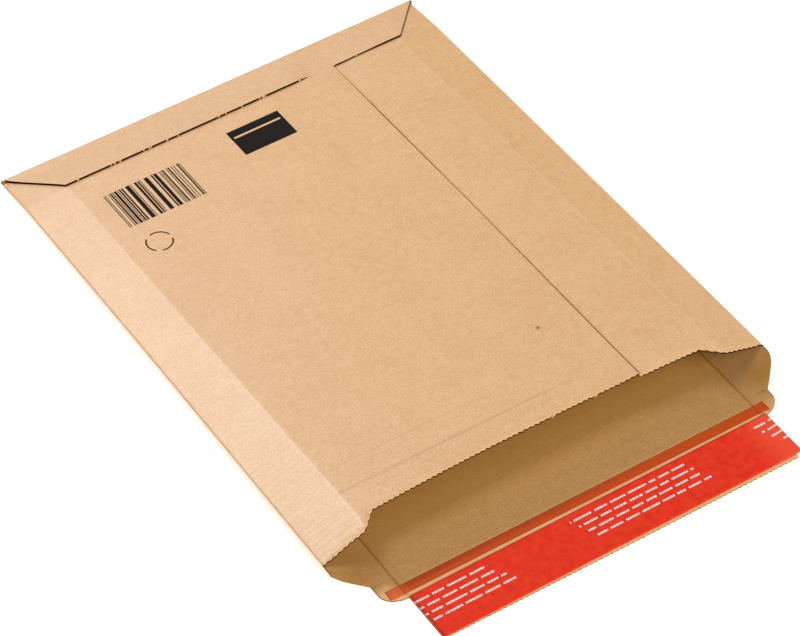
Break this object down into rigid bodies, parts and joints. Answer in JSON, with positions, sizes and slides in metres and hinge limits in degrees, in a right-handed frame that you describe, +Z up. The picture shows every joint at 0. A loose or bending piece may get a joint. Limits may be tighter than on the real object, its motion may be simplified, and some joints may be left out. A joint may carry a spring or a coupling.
{
  "type": "cardboard envelope",
  "caption": "Flat corrugated card envelope with gusseted sides, a lapped top, a glued end flap and a wave-cut mouth, closed by a hinged flap with tear strip and release liner.",
  "frame": {"origin": "on the floor, under the middle of the part's box", "axes": "+X across the width, -Y out of the mouth, +Z up from the base"},
  "size_m": [0.2354, 0.3524, 0.0165],
  "materials": {
    "kraft_board": "matte kraft liner",
    "kraft_board_inside": "matte kraft liner",
    "tear_film": "satin film",
    "liner_paper": "smooth siliconised paper"
  },
  "bodies": {
    "envelope": {"envelope_body": "kraft_board"},
    "flap": {"closing_flap": "kraft_board_inside", "tear_strip": "tear_film", "release_liner": "liner_paper"}
  },
  "joints": [
    {"name": "closing_flap_fold", "type": "hinge", "parent": "envelope", "child": "flap", "pos_m": [0, -0.1345, 0.0015], "axis": [-1, 0, 0], "range_deg": [0, 138]}
  ]
}
